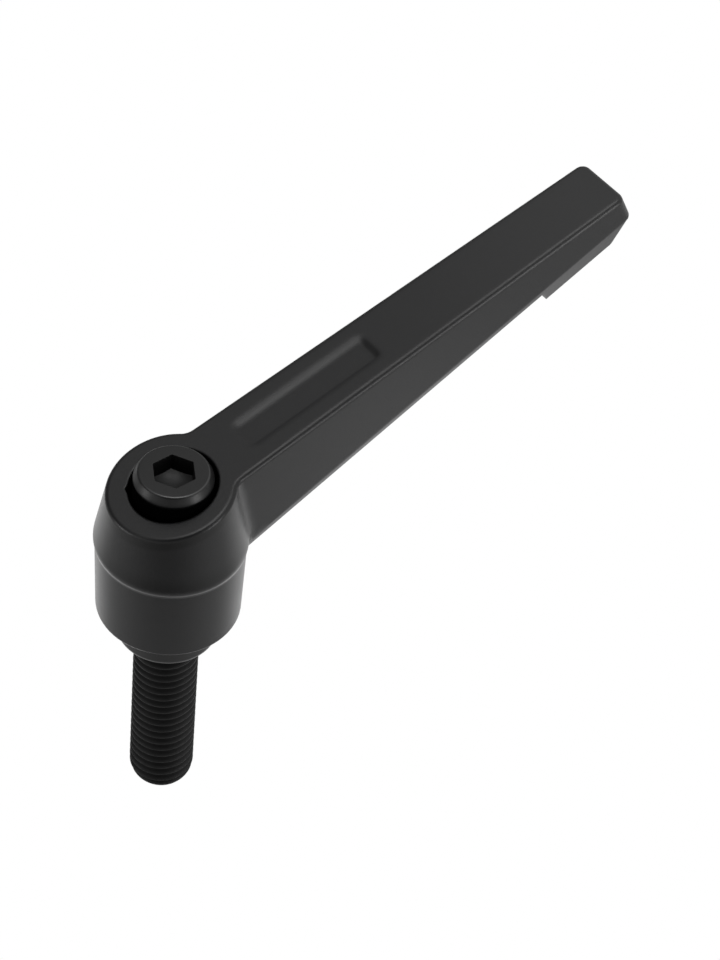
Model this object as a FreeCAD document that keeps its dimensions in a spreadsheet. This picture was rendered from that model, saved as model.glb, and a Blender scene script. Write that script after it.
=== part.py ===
# Adjustable clamping lever with a threaded stud, in millimetres.
# The axis of the stud is Z and the arm points along +X. Z = 0 is the face of the insert's collar
# that bears on the clamped work, so the stud hangs below it and the hub stands above it.
import FreeCAD, Part
import Sketcher
import math
import os

os.makedirs("parts", exist_ok=True)
doc = FreeCAD.newDocument("clamping_lever")

# Driving dimensions: name, value, meaning
DRIVING = [
    ("top_height", 31.32, "height of the sloping top face where the axis crosses it"),
    ("top_tilt", 12.5, "rise of the top face towards the tip, in degrees"),
    ("lip_height", 19.3, "foot of the hub's lip, where it meets the skirt"),
    ("lip_rise", 0.8, "height of the lip's sloping underside"),
    ("lip_overhang", 0.3, "how far the lip stands out over the skirt, before its edge is rounded"),
    ("cone_angle", 10.3, "half angle of the hub cone, in degrees"),
    ("lip_round", 2.0, "rounding of the lip's edge"),
    ("skirt_height", 5.8, "lower end of the hub's skirt"),
    ("skirt_radius", 11.25, "skirt just under the lip"),
    ("skirt_draft", 1.4, "draft of the skirt, in degrees"),
    ("skirt_round", 0.4, "rounding of the skirt's lower edge"),
    ("arm_reach", 82.65, "axis to the end of the arm, at its parting line"),
    ("arm_width_root", 12.48, "width of the top face, carried back to the axis"),
    ("arm_width_tip", 9.8, "width of the top face at the tip"),
    ("arm_draft", 2.5, "draft of the arm's sides, in degrees"),
    ("end_lean", 25.0, "lean of the arm's end face, in degrees"),
    ("parting_drop", 0.3, "arm's parting line below the lip's edge, where it leaves the hub"),
    ("parting_slope", 19.4, "rise of the parting line towards the tip, in degrees"),
    ("keel_depth", 1.65, "drop of the arm's lower face below the parting line"),
    ("fairing_radius", 2.5, "hollow between the arm's sides and the hub"),
    ("top_round", 0.7, "rounding of the top face's outline"),
    ("keel_round", 0.5, "rounding of the arm's lower edges"),
    ("tip_round", 1.5, "rounding of the two upright corners at the tip"),
    ("grip_length", 19.2, "finger grip along the parting line, back from the end"),
    ("grip_depth", 4.95, "drop of the finger grip below the parting line"),
    ("grip_draft", 15.0, "draft of the flanks below the parting line, in degrees"),
    ("grip_heel", 1.6, "run of the grip's inner end wall"),
    ("grip_nose", 3.5, "run of the grip's outer end wall"),
    ("grip_round", 1.0, "rounding of the grip's edges"),
    ("recess_start", 12.3, "axis to the near end of the shallow recess"),
    ("recess_length", 23.8, "length of the recess"),
    ("recess_width", 5.0, "width of the recess"),
    ("recess_depth", 0.9, "depth of the recess"),
    ("recess_wall", 0.7, "run of the recess's sloping walls"),
    ("recess_round", 0.8, "rounding of the recess's corners"),
    ("counterbore_radius", 6.55, "well that holds the screw's head and the spring"),
    ("counterbore_round", 0.25, "rounding of the well's rim"),
    ("notch_angle", 143.0, "place of the small notch in the well, in degrees from the arm"),
    ("notch_depth", 0.45, "depth of the notch"),
    ("notch_width", 2.0, "width of the notch"),
    ("notch_reach", 6.0, "how far the notch runs down the well"),
    ("web_height", 15.6, "underside of the web, which lies on the insert"),
    ("web_thickness", 2.8, "web between the well and the tooth ring"),
    ("tooth_count", 24, "teeth round the insert and in the hub"),
    ("tooth_tip_radius", 7.2, "tips of the insert's teeth"),
    ("tooth_depth", 0.85, "depth of a tooth"),
    ("tooth_land", 0.3, "width of a tooth's tip"),
    ("tooth_flank", 34.0, "flank of a tooth to its middle line, in degrees"),
    ("tooth_length", 3.5, "length over which the hub's teeth reach the insert's"),
    ("tooth_clearance", 0.12, "play between the two sets of teeth"),
    ("guide_radius", 7.75, "insert's plain body, seen below the hub as a collar"),
    ("guide_clearance", 0.08, "running play of the hub on the insert"),
    ("guide_gap", 0.3, "step between the hub's teeth and the insert's plain body"),
    ("collar_round", 0.5, "rounding of the collar round its bearing face"),
    ("stud_radius", 5.0, "crests of the stud's thread M10"),
    ("stud_length", 34.0, "stud below the bearing face"),
    ("stud_relief", 1.55, "undercut below the bearing face, where the thread runs out"),
    ("stud_relief_rise", 0.5, "undercut above the bearing face, in the insert's mouth"),
    ("stud_relief_radius", 4.0, "bottom of the undercut"),
    ("stud_point", 2.9, "length of the rounded point"),
    ("stud_point_radius", 3.8, "end face of the stud"),
    ("stud_seat", 5.0, "stud inside the insert"),
    ("stud_bevel", 0.5, "bevel of the stud's seated end"),
    ("seat_clearance", 0.02, "play round the parts that are screwed into the insert"),
    ("head_top", 34.1, "top of the screw's head"),
    ("head_height", 6.0, "height of the screw's head"),
    ("head_radius", 5.95, "screw's head"),
    ("head_rim_radius", 5.25, "flat top of the head"),
    ("head_shoulder", 1.3, "height of the head's rounded edge"),
    ("head_round", 1.6, "radius of the head's rounded edge"),
    ("socket_width", 5.9, "hexagon socket, across its flats"),
    ("socket_depth", 3.1, "depth of the hexagon socket"),
    ("socket_cone", 1.0, "depth of the cone at the socket's bottom"),
    ("socket_turn", -1.5, "turn of the hexagon from the arm's line, in degrees"),
    ("shoulder_radius", 4.0, "screw's plain shoulder, on which the web slides"),
    ("shoulder_clearance", 0.1, "running play of the web on the shoulder"),
    ("screw_thread_radius", 3.0, "screw's thread M6"),
    ("screw_thread_length", 9.0, "thread inside the insert"),
    ("screw_hole_rest", 0.6, "hole below the screw's end"),
    ("screw_point", 0.5, "bevel of the screw's end"),
    ("spring_mean_radius", 4.95, "middle of the spring's wire"),
    ("spring_wire", 1.1, "spring wire"),
    ("spring_turns", 4.5, "turns of the spring"),
    ("spring_grind", 0.41, "depth ground off each end of the spring"),
]


class Size:
    """A length or angle that knows its number now and its formula in the sheet."""

    def __init__(self, value, text):
        self.value = float(value)
        self.text = text

    @staticmethod
    def of(other):
        if isinstance(other, Size):
            return other
        return Size(other, repr(other))

    def __add__(self, other):
        other = Size.of(other)
        return Size(self.value + other.value, f"({self.text} + {other.text})")

    __radd__ = __add__

    def __sub__(self, other):
        other = Size.of(other)
        return Size(self.value - other.value, f"({self.text} - {other.text})")

    def __rsub__(self, other):
        return Size.of(other) - self

    def __mul__(self, other):
        other = Size.of(other)
        return Size(self.value * other.value, f"({self.text} * {other.text})")

    __rmul__ = __mul__

    def __truediv__(self, other):
        other = Size.of(other)
        return Size(self.value / other.value, f"({self.text} / {other.text})")

    def __rtruediv__(self, other):
        return Size.of(other) / self

    def __neg__(self):
        return Size(-self.value, f"(0 - {self.text})")


def tan(angle):
    return Size(math.tan(math.radians(angle.value)), f"tan({angle.text})")


def cos(angle):
    return Size(math.cos(math.radians(angle.value)), f"cos({angle.text})")


def sin(angle):
    return Size(math.sin(math.radians(angle.value)), f"sin({angle.text})")


sheet = doc.addObject("Spreadsheet::Sheet", "sizes")
for row, (name, value, meaning) in enumerate(DRIVING, start=1):
    sheet.set(f"A{row}", meaning)
    sheet.set(f"B{row}", str(value))
    sheet.setAlias(f"B{row}", name)
doc.recompute()


class Sizes:
    """Each driving dimension, by its name."""

    def __getattr__(self, name):
        return Size(getattr(sheet, name), f"sizes.{name}")


size = Sizes()


# Helpers for bodies, sketches and features

def new_body(label):
    body = doc.addObject("PartDesign::Body", label + "_body")
    body.Label = label
    return body


def origin_item(body, role):
    """One of the body's own planes or axes."""
    return [item for item in body.Origin.OriginFeatures if item.Role == role][0]


def new_sketch(body, name, plane, offset=None):
    """A sketch on one of the body's own planes. The offset is along the plane's normal."""
    sketch = body.newObject("Sketcher::SketchObject", name)
    sketch.AttachmentSupport = [(origin_item(body, plane), "")]
    sketch.MapMode = "FlatFace"
    if offset is not None:
        sketch.setExpression("AttachmentOffset.Base.z", offset.text)
    return sketch


def tilted_sketch(body, name, height, slope, rise=0):
    """A sketch on a slope that crosses the axis at a height, moved square to itself by a rise.

    Its first axis runs up the slope, towards the tip.
    """
    sketch = new_sketch(body, name, "XY_Plane")
    turn = FreeCAD.Rotation(FreeCAD.Vector(0, -1, 0), slope.value)
    sketch.AttachmentOffset = FreeCAD.Placement(FreeCAD.Vector(), turn)
    sketch.setExpression("AttachmentOffset.Rotation.Angle", slope.text)
    sketch.setExpression("AttachmentOffset.Base.x", (-sin(slope) * rise).text)
    sketch.setExpression("AttachmentOffset.Base.z", (height + cos(slope) * rise).text)
    return sketch


def pin(sketch, geometry, point, place):
    """Fixes a point of the sketch at a place given by two sizes. A plain 0 puts it on an axis."""
    for kind, across, coordinate in (("DistanceX", -2, place[0]), ("DistanceY", -1, place[1])):
        if isinstance(coordinate, Size):
            index = sketch.addConstraint(
                Sketcher.Constraint(kind, -1, 1, geometry, point, coordinate.value))
            sketch.setExpression(f"Constraints[{index}]", coordinate.text)
        else:
            sketch.addConstraint(Sketcher.Constraint("PointOnObject", geometry, point, across))


def outline(sketch, places, bulges=None):
    """A closed outline through the places. A bulge makes the side after a place an arc."""
    bulges = bulges or {}
    points = [FreeCAD.Vector(Size.of(u).value, Size.of(v).value, 0) for u, v in places]
    count = len(points)
    for index, start in enumerate(points):
        end = points[(index + 1) % count]
        if index in bulges:
            radius, side = bulges[index]
            chord = end - start
            middle = (start + end) * 0.5
            rise = math.sqrt(max(radius.value ** 2 - (chord.Length / 2) ** 2, 0.0))
            across = FreeCAD.Vector(-chord.y, chord.x, 0).normalize() * side
            centre = middle + across * rise
            on_arc = centre - across * radius.value
            sketch.addGeometry(Part.Arc(start, on_arc, end), False)
        else:
            sketch.addGeometry(Part.LineSegment(start, end), False)
    ends = []
    for index, start in enumerate(points):
        first = sketch.Geometry[index].StartPoint
        forward = (first - start).Length < 1e-6
        ends.append((1, 2) if forward else (2, 1))
    for index in range(count):
        after = (index + 1) % count
        sketch.addConstraint(
            Sketcher.Constraint("Coincident", index, ends[index][1], after, ends[after][0]))
    for index, place in enumerate(places):
        pin(sketch, index, ends[index][0], place)
    for index, (radius, side) in bulges.items():
        bend = sketch.addConstraint(Sketcher.Constraint("Radius", index, radius.value))
        sketch.setExpression(f"Constraints[{bend}]", radius.text)


def revolve(body, kind, sketch):
    """A full turn round the sketch's upright axis: a Revolution adds, a Groove cuts."""
    feature = body.newObject("PartDesign::" + kind, sketch.Name + "_" + kind.lower())
    feature.Profile = sketch
    feature.ReferenceAxis = (sketch, ["V_Axis"])
    feature.Angle = 360.0
    doc.recompute()
    return feature


def loft(body, kind, name, first, last):
    """Flat walls from one sketch to another."""
    feature = body.newObject("PartDesign::" + kind, name)
    feature.Profile = first
    feature.Sections = [last]
    feature.Ruled = True
    doc.recompute()
    return feature


def pocket(body, sketch, depth, upwards=False):
    """A cut of a given depth. It goes down from the sketch, or up from it."""
    feature = body.newObject("PartDesign::Pocket", sketch.Name + "_cut")
    feature.Profile = sketch
    feature.Reversed = upwards
    feature.Length = depth.value
    feature.setExpression("Length", depth.text)
    doc.recompute()
    return feature


def repeat_round(body, name, feature):
    """Copies a cut round the axis, once for each tooth."""
    pattern = body.newObject("PartDesign::PolarPattern", name)
    pattern.Originals = [feature]
    pattern.Axis = (origin_item(body, "Z_Axis"), [""])
    pattern.Angle = 360.0
    pattern.Occurrences = int(size.tooth_count.value)
    pattern.setExpression("Occurrences", size.tooth_count.text)
    body.Tip = pattern
    doc.recompute()
    return pattern


def round_edges(body, name, base, names, radius):
    """A fillet on the named edges of a feature."""
    feature = body.newObject("PartDesign::Fillet", name)
    feature.Base = (base, names)
    feature.Radius = radius.value
    feature.setExpression("Radius", radius.text)
    doc.recompute()
    return feature


def edges_of(feature, test):
    """Names of the edges whose middle point passes the test."""
    names = []
    for index, edge in enumerate(feature.Shape.Edges, start=1):
        middle = edge.valueAt((edge.FirstParameter + edge.LastParameter) / 2)
        if test(middle, edge):
            names.append(f"Edge{index}")
    return names


def rise_of(edge):
    """Height from an edge's lower end to its upper one."""
    heights = [vertex.Point.z for vertex in edge.Vertexes]
    return max(heights) - min(heights)


def from_axis(point):
    return math.hypot(point.x, point.y)


def close(first, second):
    """Whether two lengths agree to within a fiftieth of a millimetre."""
    return abs(first - second) < 0.02


# Lever: one zinc casting with hub, arm, finger grip, well, web and internal teeth

lever = new_body("lever")
lip_radius = size.skirt_radius + size.lip_overhang
lip_edge = size.lip_height + size.lip_rise
parting_height = lip_edge - size.parting_drop - tan(size.parting_slope) * lip_radius


def top_at(reach):
    """Height of the sloping top face at a distance from the axis."""
    return size.top_height + tan(size.top_tilt) * reach


def parting_at(reach):
    """Height of the parting line, low on the arm's sides, at a distance from the axis."""
    return parting_height + tan(size.parting_slope) * reach


def half_width(reach, height):
    """Half width of the arm: it narrows towards the tip and, by its draft, upwards."""
    half_root = size.arm_width_root / 2
    half_tip = size.arm_width_tip / 2
    taper = (half_tip - half_root) / size.arm_reach
    return half_root + taper * reach + tan(size.arm_draft) * (top_at(reach) - height)


# Hub: a cone over a lip, and the skirt below it
blank_margin = size.keel_depth
blank_top = top_at(lip_radius) + blank_margin
cone_top = lip_radius - tan(size.cone_angle) * (blank_top - lip_edge)
skirt_drop = size.lip_height - size.skirt_height
skirt_foot = size.skirt_radius - tan(size.skirt_draft) * skirt_drop

hub_side = new_sketch(lever, "hub_side", "XZ_Plane")
outline(hub_side, [
    (0, size.skirt_height),
    (skirt_foot, size.skirt_height),
    (size.skirt_radius, size.lip_height),
    (lip_radius, lip_edge),
    (cone_top, blank_top),
    (0, blank_top),
])
revolve(lever, "Revolution", hub_side)

# Arm: a straight beam with drafted sides above the parting line, longer and higher than it will be
arm_start = size.counterbore_radius / 2
arm_stop = size.arm_reach + size.grip_depth
sections = []
for name, reach in (("arm_root", arm_start), ("arm_end", arm_stop)):
    section = new_sketch(lever, name, "YZ_Plane", reach)
    high = top_at(reach) + blank_margin
    low = parting_at(reach)
    outline(section, [
        (-half_width(reach, low), low),
        (half_width(reach, low), low),
        (half_width(reach, high), high),
        (-half_width(reach, high), high),
    ])
    sections.append(section)
loft(lever, "AdditiveLoft", "arm", sections[0], sections[1])

# Top face and end of the arm, cut in one go
end_low = parting_at(size.arm_reach)
far_out = arm_stop + size.arm_reach
far_up = top_at(far_out)
far_back = -lip_radius - size.lip_round
end_height = top_at(size.arm_reach) - end_low
end_spread = 1 + tan(size.end_lean) * tan(size.top_tilt)
end_top = size.arm_reach - tan(size.end_lean) * end_height / end_spread
trim_side = new_sketch(lever, "trim_side", "XZ_Plane")
outline(trim_side, [
    (far_back, top_at(far_back)),
    (end_top, top_at(end_top)),
    (size.arm_reach, end_low),
    (size.arm_reach + tan(size.end_lean) * size.grip_depth, end_low - size.grip_depth),
    (far_out, end_low - size.grip_depth),
    (far_out, far_up),
    (far_back, far_up),
])
trim = lever.newObject("PartDesign::Pocket", "trim")
trim.Profile = trim_side
trim.Type = "ThroughAll"
trim.Midplane = True
doc.recompute()


# Keel and finger grip: pads below the parting line, whose flanks lean inwards from it
def pad_corners(start, stop, inset):
    """Four corners that follow the parting line's two sides at an inset."""
    corners = []
    for along, side in ((start, -1), (stop, -1), (stop, 1), (start, 1)):
        reach = along * cos(size.parting_slope)
        corners.append((along, (half_width(reach, parting_at(reach)) - inset) * side))
    return corners


def pad(name, start, stop, heel, nose, depth):
    """A pad from one place along the parting line to another, with a sloping wall at each end."""
    foot = tilted_sketch(lever, name + "_foot", parting_height, size.parting_slope)
    outline(foot, pad_corners(start, stop, 0))
    face = tilted_sketch(lever, name + "_face", parting_height, size.parting_slope, -depth)
    outline(face, pad_corners(start + heel, stop - nose, tan(size.grip_draft) * depth))
    return loft(lever, "AdditiveLoft", name, foot, face)


def below_parting(point):
    """How far a point lies below the parting line, square to it."""
    return (parting_at(Size.of(point.x)).value - point.z) * cos(size.parting_slope).value


def is_keel_edge(middle, edge):
    """The keel's two long lower edges."""
    aside = abs(middle.y) > size.arm_width_tip.value / 4
    return aside and close(below_parting(middle), size.keel_depth.value)


grip_stop = size.arm_reach / cos(size.parting_slope)
grip_start = grip_stop - size.grip_length
keel_start = size.counterbore_radius / cos(size.parting_slope)
keel_stop = (grip_start + grip_stop) / 2
keel = pad("keel", keel_start, keel_stop, 0, 0, size.keel_depth)
round_edges(lever, "keel_edges", keel, edges_of(keel, is_keel_edge), size.keel_round)
pad("grip", grip_start, grip_stop, size.grip_heel, size.grip_nose, size.grip_depth)

# Well from above, hole in the web, and the bore for the insert from below
web_top = size.web_height + size.web_thickness
web_hole = size.shoulder_radius + size.shoulder_clearance
ring_foot = size.web_height - size.tooth_length
ring_radius = size.tooth_tip_radius - size.tooth_depth + size.tooth_clearance
bore_radius = size.guide_radius + size.guide_clearance
bore_side = new_sketch(lever, "bore_side", "XZ_Plane")
outline(bore_side, [
    (0, size.skirt_height - blank_margin),
    (bore_radius, size.skirt_height - blank_margin),
    (bore_radius, ring_foot),
    (ring_radius, ring_foot),
    (ring_radius, size.web_height),
    (web_hole, size.web_height),
    (web_hole, web_top),
    (size.counterbore_radius, web_top),
    (size.counterbore_radius, blank_top),
    (0, blank_top),
])
revolve(lever, "Groove", bore_side)

# Notch: a small upright vee in the well's wall, on the side away from the arm
notch_foot = top_at(-size.counterbore_radius) - size.notch_reach


def notch_corner(outward, sideways):
    """A corner of the vee, from its distances along and across the notch's direction."""
    ahead = cos(size.notch_angle)
    aside = sin(size.notch_angle)
    return (ahead * outward - aside * sideways, aside * outward + ahead * sideways)


notch_inside = size.counterbore_radius - size.notch_depth
notch = new_sketch(lever, "notch", "XY_Plane", notch_foot)
outline(notch, [
    notch_corner(size.counterbore_radius + size.notch_depth, 0),
    notch_corner(notch_inside, size.notch_width),
    notch_corner(notch_inside, -size.notch_width),
])
pocket(lever, notch, blank_top - notch_foot, upwards=True)


# Shallow recess with sloping walls in the arm's top face
def recess_section(name, depth):
    """The recess's outline at a depth below the top face, its walls sloping inwards."""
    inset = size.recess_wall * depth / size.recess_depth
    start = size.recess_start / cos(size.top_tilt) + inset
    stop = (size.recess_start + size.recess_length) / cos(size.top_tilt) - inset
    half = size.recess_width / 2 - inset
    sketch = tilted_sketch(lever, name, size.top_height, size.top_tilt, -depth)
    outline(sketch, [(start, -half), (stop, -half), (stop, half), (start, half)])
    return sketch


recess_mouth = recess_section("recess_mouth", -size.recess_depth)
recess_floor = recess_section("recess_floor", size.recess_depth)
loft(lever, "SubtractiveLoft", "recess", recess_mouth, recess_floor)


# Internal teeth: one space cut out of the ring, then repeated round the axis
def tooth_half(radius):
    """Half the width of an insert's tooth at a radius."""
    return size.tooth_land / 2 + tan(size.tooth_flank) * (size.tooth_tip_radius - radius)


side_play = size.tooth_clearance / cos(size.tooth_flank)
space_tip = size.tooth_tip_radius + size.tooth_clearance
space_mouth = ring_radius - size.tooth_clearance
ring_space = new_sketch(lever, "ring_space", "XY_Plane", ring_foot)
outline(ring_space, [
    (space_mouth, -(tooth_half(space_mouth) + side_play)),
    (space_tip, -(tooth_half(space_tip) + side_play)),
    (space_tip, tooth_half(space_tip) + side_play),
    (space_mouth, tooth_half(space_mouth) + side_play),
])
space_cut = pocket(lever, ring_space, size.tooth_length, upwards=True)
ring_teeth = repeat_round(lever, "ring_teeth", space_cut)

# Roundings of the casting, from the recess's corners to the well's rim

def below_top(point):
    """How far a point lies below the sloping top face, square to it."""
    return (top_at(Size.of(point.x)).value - point.z) * cos(size.top_tilt).value


def in_outer_half(point):
    return point.x > size.arm_reach.value / 2


def over_recess(point, margin):
    """Whether a point lies over the recess's mouth, or no further beside it than the margin."""
    start = size.recess_start.value - margin
    stop = (size.recess_start + size.recess_length).value + margin
    return start < point.x < stop and abs(point.y) < size.recess_width.value / 2 + margin


def is_recess_corner(middle, edge):
    half_down = close(below_top(middle), size.recess_depth.value / 2)
    return half_down and over_recess(middle, size.recess_wall.value)


def is_recess_floor(middle, edge):
    at_floor = close(below_top(middle), size.recess_depth.value)
    return at_floor and over_recess(middle, 0)


def is_root(middle, edge):
    """An arm side runs into the hub's cone."""
    at_hub = 0 < middle.x < lip_radius.value and middle.z > size.lip_height.value
    aside = abs(middle.y) > size.arm_width_tip.value / 2
    return at_hub and aside and rise_of(edge) > size.tooth_length.value


def is_tip_corner(middle, edge):
    """The upright corners of the arm's end, and the grip's corners under them."""
    beyond = middle.x > (size.arm_reach - size.grip_nose).value
    aside = abs(middle.y) > size.arm_width_tip.value / 4
    return beyond and aside and rise_of(edge) > edge.Length / 2


def is_grip_rim(middle, edge):
    """The outline of the grip's face."""
    return in_outer_half(middle) and close(below_parting(middle), size.grip_depth.value)


def is_top_rim(middle, edge):
    """The outline of the sloping top face, without the well's and the recess's."""
    well_reach = (size.counterbore_radius + size.notch_depth + size.recess_wall / 2).value
    outside = from_axis(middle) > well_reach and not over_recess(middle, size.recess_wall.value / 2)
    return close(below_top(middle), 0) and outside


def is_lip(middle, edge):
    """The lip's edge, all round the hub's back."""
    return close(middle.z, lip_edge.value) and close(middle.x, -lip_radius.value)


def is_skirt_rim(middle, edge):
    """The skirt's lower outer edge."""
    return close(middle.z, size.skirt_height.value) and close(from_axis(middle), skirt_foot.value)


def is_well_rim(middle, edge):
    """The edge of the well in the sloping top face."""
    in_face = close(below_top(middle), 0)
    return in_face and close(from_axis(middle), size.counterbore_radius.value)


rounded = ring_teeth
for name, test, radius in (
    ("recess_corners", is_recess_corner, size.recess_round),
    ("recess_base", is_recess_floor, size.recess_round / 2),
    ("fairing", is_root, size.fairing_radius),
    ("tip_corners", is_tip_corner, size.tip_round),
    ("grip_rim", is_grip_rim, size.grip_round),
    ("top_rim", is_top_rim, size.top_round),
    ("lip_rim", is_lip, size.lip_round),
    ("skirt_rim", is_skirt_rim, size.skirt_round),
    ("well_rim", is_well_rim, size.counterbore_round),
):
    rounded = round_edges(lever, name, rounded, edges_of(rounded, test), radius)

# Toothed insert: collar and plain guide below, teeth above, holes for the stud and the screw

insert = new_body("toothed_insert")
stud_hole = size.stud_radius + size.seat_clearance
screw_hole = size.screw_thread_radius + size.seat_clearance
screw_end = size.web_height - size.screw_thread_length
guide_top = ring_foot - size.guide_gap
tooth_bevel = size.tooth_depth / 2
insert_side = new_sketch(insert, "insert_side", "XZ_Plane")
outline(insert_side, [
    (0, size.stud_seat),
    (stud_hole, size.stud_seat),
    (stud_hole, 0),
    (size.guide_radius - size.collar_round, 0),
    (size.guide_radius, size.collar_round),
    (size.guide_radius, guide_top),
    (size.tooth_tip_radius, guide_top),
    (size.tooth_tip_radius, size.web_height - tooth_bevel),
    (size.tooth_tip_radius - tooth_bevel, size.web_height),
    (screw_hole, size.web_height),
    (screw_hole, screw_end - size.screw_hole_rest),
    (0, screw_end - size.screw_hole_rest),
], {3: (size.collar_round, 1)})
revolve(insert, "Revolution", insert_side)
half_step = 180 / size.tooth_count


def gap_corner(radius):
    """A corner of the gap between two teeth, on the gap's own middle line."""
    half = tooth_half(radius)
    return (radius * cos(half_step) + half * sin(half_step),
            radius * sin(half_step) - half * cos(half_step))


insert_gap = new_sketch(insert, "insert_gap", "XY_Plane", size.web_height)
insert_gap.AttachmentOffset = FreeCAD.Placement(
    insert_gap.AttachmentOffset.Base, FreeCAD.Rotation(FreeCAD.Vector(0, 0, 1), half_step.value))
insert_gap.setExpression("AttachmentOffset.Rotation.Angle", half_step.text)
gap_root = gap_corner(size.tooth_tip_radius - size.tooth_depth)
gap_mouth = gap_corner(size.tooth_tip_radius + size.tooth_clearance)
outline(insert_gap, [
    (gap_root[0], -gap_root[1]),
    (gap_mouth[0], -gap_mouth[1]),
    gap_mouth,
    gap_root,
])
gap_cut = pocket(insert, insert_gap, size.web_height - guide_top)
repeat_round(insert, "insert_teeth", gap_cut)

# Threaded stud: turned, with a rounded point and an undercut, and plain over the thread's crests

stud = new_body("threaded_stud")
point_drop = size.stud_radius - size.stud_point_radius
point_round = (size.stud_point * size.stud_point + point_drop * point_drop) / (2 * point_drop)
stud_side = new_sketch(stud, "stud_side", "XZ_Plane")
outline(stud_side, [
    (0, -size.stud_length),
    (size.stud_point_radius, -size.stud_length),
    (size.stud_radius, size.stud_point - size.stud_length),
    (size.stud_radius, -size.stud_relief),
    (size.stud_relief_radius, -size.stud_relief),
    (size.stud_relief_radius, size.stud_relief_rise),
    (size.stud_radius, size.stud_relief_rise),
    (size.stud_radius, size.stud_seat - size.stud_bevel),
    (size.stud_radius - size.stud_bevel, size.stud_seat),
    (0, size.stud_seat),
], {1: (point_round, 1)})
revolve(stud, "Revolution", stud_side)

# Retaining screw: head with a hexagon socket, plain shoulder, and a thread into the insert

screw = new_body("retaining_screw")
head_foot = size.head_top - size.head_height
screw_side = new_sketch(screw, "screw_side", "XZ_Plane")
outline(screw_side, [
    (0, screw_end),
    (size.screw_thread_radius - size.screw_point, screw_end),
    (size.screw_thread_radius, screw_end + size.screw_point),
    (size.screw_thread_radius, size.web_height),
    (size.shoulder_radius, size.web_height),
    (size.shoulder_radius, head_foot),
    (size.head_radius, head_foot),
    (size.head_radius, size.head_top - size.head_shoulder),
    (size.head_rim_radius, size.head_top),
    (0, size.head_top),
], {7: (size.head_round, 1)})
revolve(screw, "Revolution", screw_side)
socket = new_sketch(screw, "socket", "XY_Plane", size.head_top)
corner_radius = size.socket_width / 2 / cos(Size.of(30.0))
hexagon = []
for corner in range(6):
    bearing = size.socket_turn + 60.0 * corner
    hexagon.append((corner_radius * cos(bearing), corner_radius * sin(bearing)))
outline(socket, hexagon)
pocket(screw, socket, size.socket_depth)
socket_floor = size.head_top - size.socket_depth
socket_end = new_sketch(screw, "socket_end", "XZ_Plane")
outline(socket_end, [
    (0, socket_floor - size.socket_cone),
    (size.socket_width / 2, socket_floor),
    (0, socket_floor),
])
revolve(screw, "Groove", socket_end)

# Spring: round wire coiled between the web and the screw's head, its two ends ground flat

spring = new_body("spring")
wire_low = web_top + size.spring_wire / 2 - size.spring_grind
wire_high = head_foot - size.spring_wire / 2 + size.spring_grind
spring_wire = new_sketch(spring, "spring_wire_section", "XZ_Plane")
spring_wire.addGeometry(Part.Circle(
    FreeCAD.Vector(size.spring_mean_radius.value, wire_low.value, 0),
    FreeCAD.Vector(0, 0, 1), size.spring_wire.value / 2), False)
pin(spring_wire, 0, 3, (size.spring_mean_radius, wire_low))
thickness = spring_wire.addConstraint(Sketcher.Constraint("Radius", 0, size.spring_wire.value / 2))
spring_wire.setExpression(f"Constraints[{thickness}]", (size.spring_wire / 2).text)
coil = spring.newObject("PartDesign::AdditiveHelix", "coil")
coil.Profile = spring_wire
coil.ReferenceAxis = (spring_wire, ["V_Axis"])
coil.Mode = "height-turns-angle"
coil.setExpression("Height", (wire_high - wire_low).text)
coil.setExpression("Turns", size.spring_turns.text)
doc.recompute()
for name, low, high in (
    ("ground_foot", web_top - size.spring_wire, web_top),
    ("ground_head", head_foot, head_foot + size.spring_wire),
):
    ground = new_sketch(spring, name, "XZ_Plane")
    outside = size.spring_mean_radius + size.spring_wire
    outline(ground, [(0, low), (outside, low), (outside, high), (0, high)])
    revolve(spring, "Groove", ground)

# Every feature must have built, and each piece is one valid solid

doc.recompute()
for item in doc.Objects:
    if "Invalid" in item.State or "Error" in item.State:
        raise RuntimeError(f"{item.Name} did not build: {item.State}")
for body in (lever, insert, stud, screw, spring):
    shape = body.Shape
    if shape.isNull() or not shape.isValid() or len(shape.Solids) != 1:
        raise RuntimeError(f"{body.Label} is not one valid solid")
for body in (lever, insert, stud, screw, spring):
    body.Shape.exportStep(f"parts/{body.Label}.step")
    box = body.Shape.BoundBox
    print(f"{body.Label}: {body.Shape.Volume:.1f} mm3, z {box.ZMin:.2f} to {box.ZMax:.2f}")
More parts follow.
